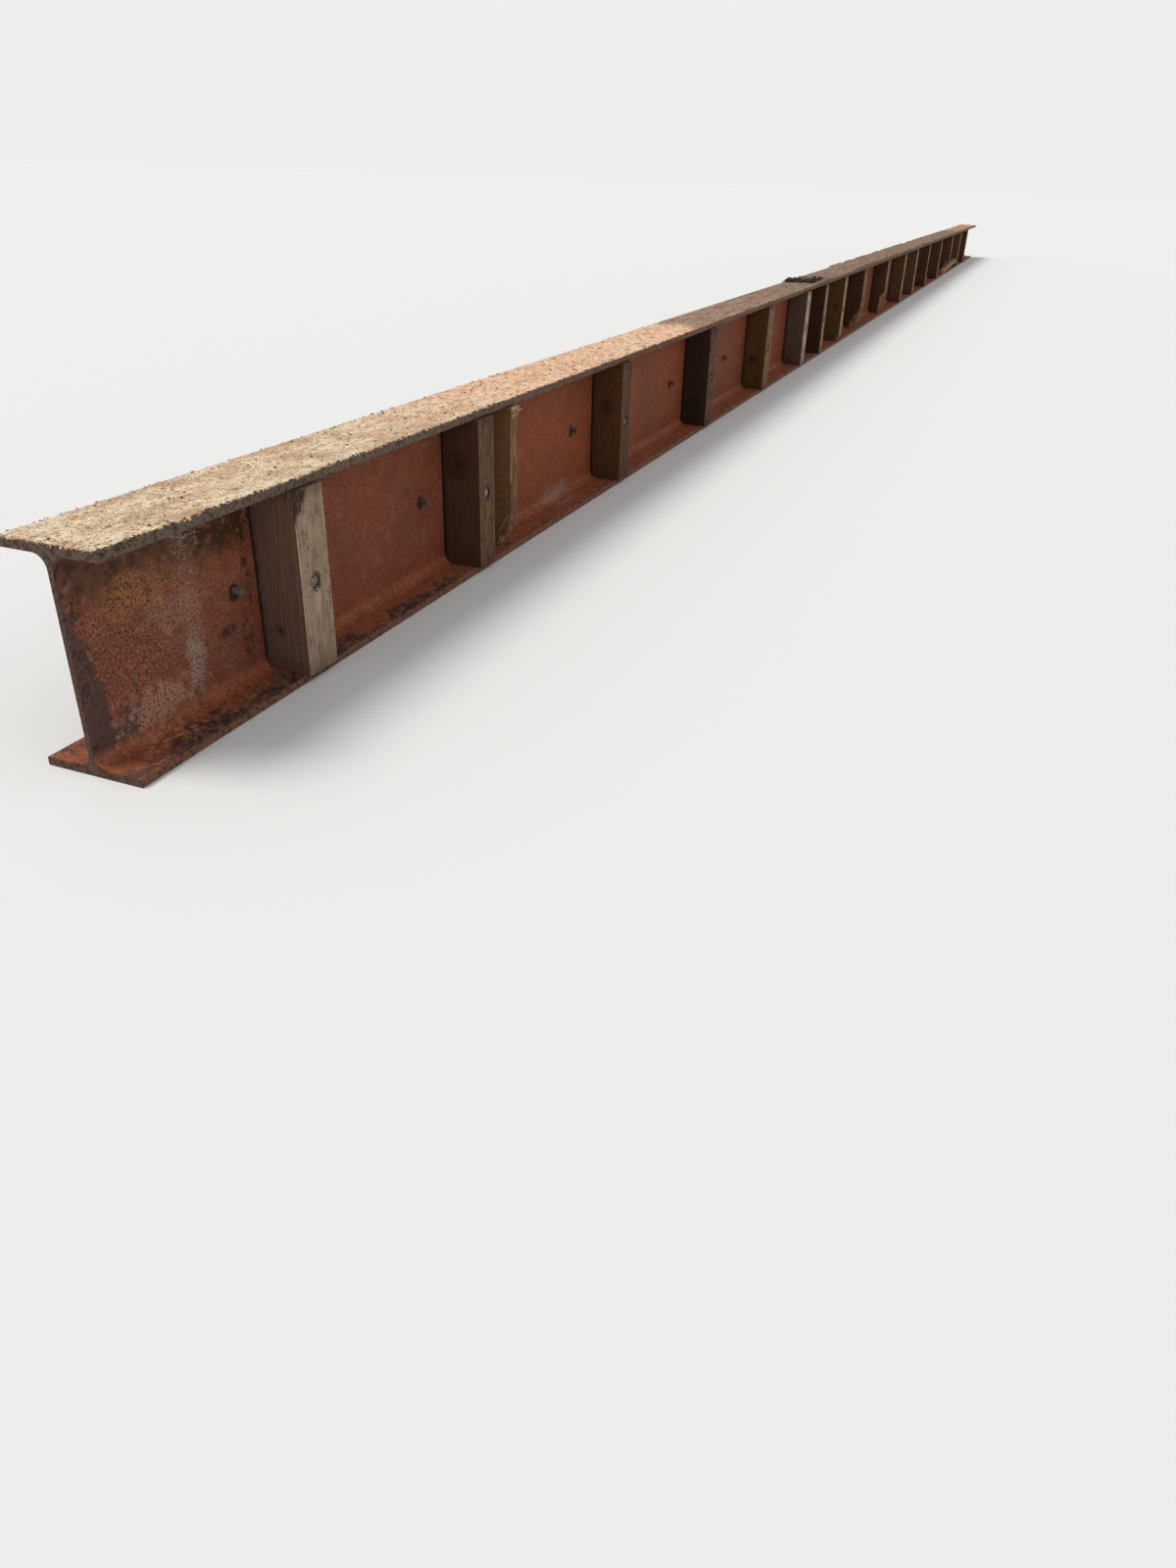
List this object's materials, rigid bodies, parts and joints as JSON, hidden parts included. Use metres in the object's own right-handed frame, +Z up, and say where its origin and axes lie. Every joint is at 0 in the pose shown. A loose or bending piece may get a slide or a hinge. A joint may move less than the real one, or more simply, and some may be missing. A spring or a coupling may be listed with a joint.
{
  "type": "steel i-beam",
  "caption": "Used rolled steel I-beam with red primer and rust, lying on its bottom flange, with old timber packers bolted between its flanges on both sides of the web.",
  "frame": {"origin": "middle of the bottom flange's underside, half way along the beam", "axes": "+X along the beam from the end nearest the camera to the far end, +Y across the flanges to the hidden side, +Z up; the side in view is -Y"},
  "size_m": [10, 0.132, 0.24],
  "materials": {
    "primed_steel": "matte red primer, rusted",
    "old_timber": "rough sawn, grey-brown",
    "bolt_steel": "dull, worn"
  },
  "bodies": {
    "root": {"i_beam": "primed_steel", "front_packer_1": "old_timber", "front_packer_2": "old_timber", "front_packer_3": "old_timber", "front_packer_4": "old_timber", "front_packer_5": "old_timber", "front_packer_6": "old_timber", "front_packer_7": "old_timber", "front_packer_8": "old_timber", "front_packer_9": "old_timber", "front_packer_10": "old_timber", "front_packer_11": "old_timber", "front_packer_12": "old_timber", "front_packer_13": "old_timber", "front_packer_14": "old_timber", "front_packer_15": "old_timber", "front_packer_16": "old_timber", "front_packer_17": "old_timber", "back_packer_1": "old_timber", "back_packer_2": "old_timber", "back_packer_3": "old_timber", "back_packer_4": "old_timber", "back_packer_5": "old_timber", "back_packer_6": "old_timber", "back_packer_7": "old_timber", "back_packer_8": "old_timber", "back_packer_9": "old_timber", "back_packer_10": "old_timber", "back_packer_11": "old_timber", "back_packer_12": "old_timber", "back_packer_13": "old_timber", "back_packer_14": "old_timber", "back_packer_15": "old_timber", "back_packer_16": "old_timber", "back_packer_17": "old_timber", "broken_board": "old_timber", "loose_stick": "old_timber", "front_bolts": "bolt_steel", "back_bolts": "bolt_steel"}
  },
  "joints": []
}
